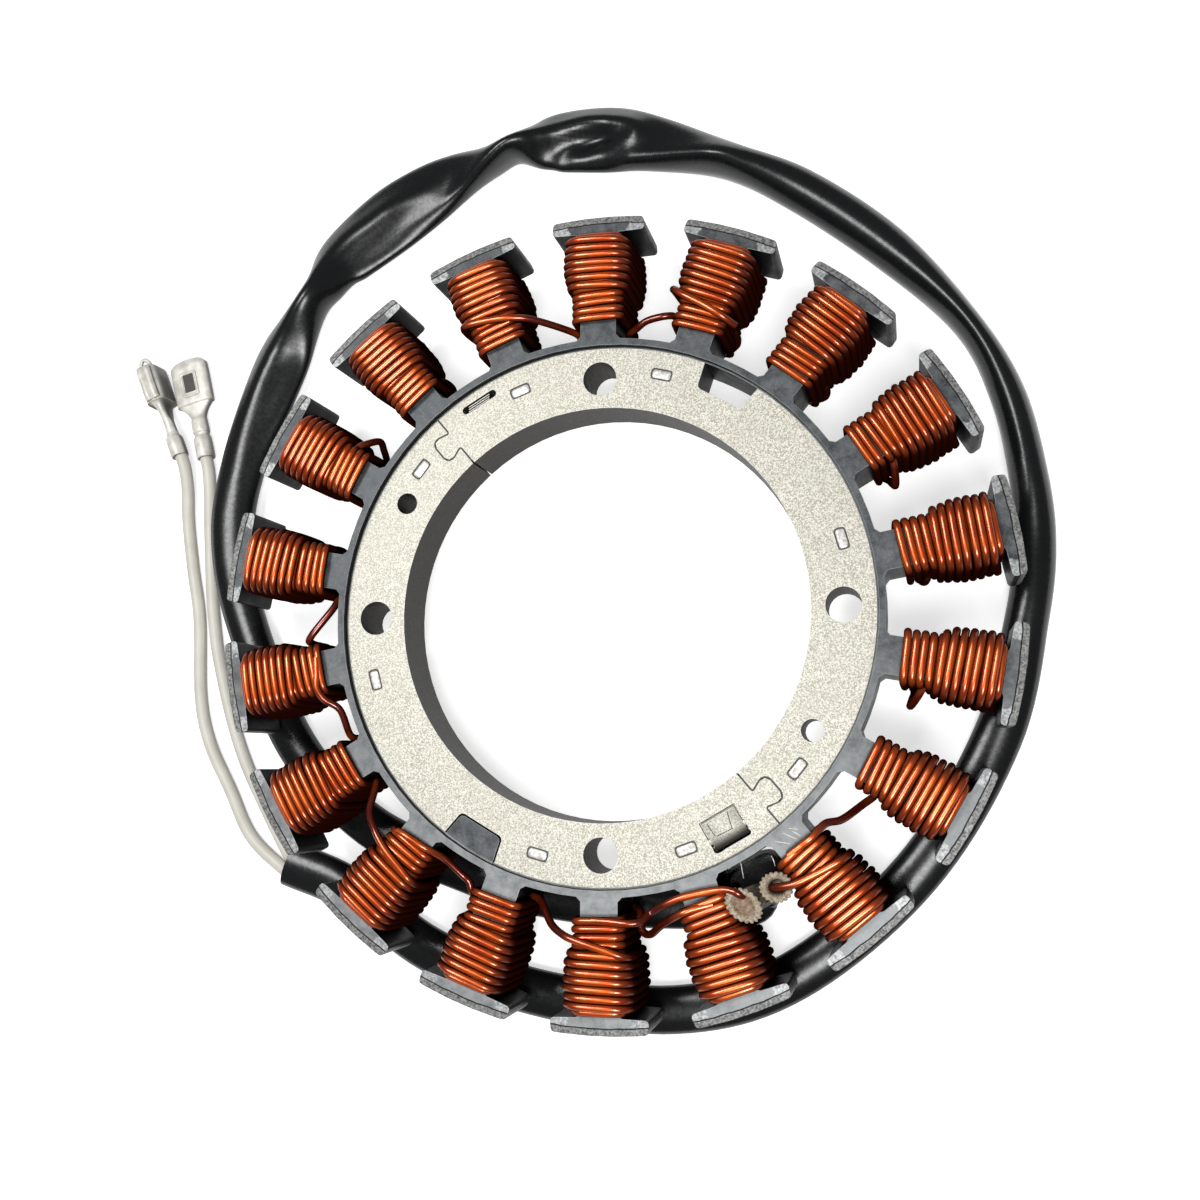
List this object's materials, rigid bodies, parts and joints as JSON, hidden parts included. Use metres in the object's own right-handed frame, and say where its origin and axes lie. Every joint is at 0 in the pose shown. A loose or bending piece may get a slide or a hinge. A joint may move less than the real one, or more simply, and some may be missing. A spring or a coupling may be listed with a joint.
{
  "type": "wound stator",
  "caption": "Ring-shaped wound stator: a split steel mounting ring, a coated core with T-headed teeth, a coil of enamelled wire on each tooth, and a long sleeved lead with two flat terminals.",
  "frame": {"origin": "on the stator's axis, half way through its stack, which is the middle of the box round the stator without its sleeve, leads and terminals", "axes": "+Z along the stator's axis, out of the side with the crossing wires; +Y towards pole 1, the one at the top of the picture; +X to the right with the crossing wires towards the viewer"},
  "size_m": [0.1804, 0.1742, 0.0231],
  "materials": {
    "ring_steel": "bare electrical steel, fine speckled grain, brighter along its edges",
    "core_coating": "thin mottled grey coating, worn bright along its edges",
    "copper_enamel": "glossy clear orange enamel over copper wire",
    "glass_braid": "woven glass fibre, coated, with frayed ends",
    "black_vinyl": "smooth black tube with a soft gloss",
    "lead_insulation": "off-white wire insulation",
    "terminal_tin": "tinned brass sheet with bare yellow edges"
  },
  "bodies": {
    "root": {"core_ring_half_a": "ring_steel", "core_ring_half_b": "ring_steel", "toothed_core": "core_coating", "coil_01": "copper_enamel", "coil_02": "copper_enamel", "coil_03": "copper_enamel", "coil_04": "copper_enamel", "coil_05": "copper_enamel", "coil_06": "copper_enamel", "coil_07": "copper_enamel", "coil_08": "copper_enamel", "coil_09": "copper_enamel", "coil_10": "copper_enamel", "coil_11": "copper_enamel", "coil_12": "copper_enamel", "coil_13": "copper_enamel", "coil_14": "copper_enamel", "coil_15": "copper_enamel", "coil_16": "copper_enamel", "coil_17": "copper_enamel", "coil_18": "copper_enamel", "link_01_02": "copper_enamel", "link_02_03": "copper_enamel", "link_03_04": "copper_enamel", "link_04_05": "copper_enamel", "link_05_06": "copper_enamel", "link_06_07": "copper_enamel", "link_07_08": "copper_enamel", "link_09_10": "copper_enamel", "link_10_11": "copper_enamel", "link_11_12": "copper_enamel", "link_12_13": "copper_enamel", "link_13_14": "copper_enamel", "link_14_15": "copper_enamel", "link_15_16": "copper_enamel", "link_16_17": "copper_enamel", "link_17_18": "copper_enamel", "link_18_01": "copper_enamel", "end_wire_1": "copper_enamel", "end_wire_2": "copper_enamel", "splice_sleeve_1": "glass_braid", "splice_sleeve_2": "glass_braid", "lead_sleeve": "black_vinyl", "lead_outer": "lead_insulation", "lead_inner": "lead_insulation", "terminal_a": "terminal_tin", "terminal_b": "terminal_tin"}
  },
  "joints": []
}
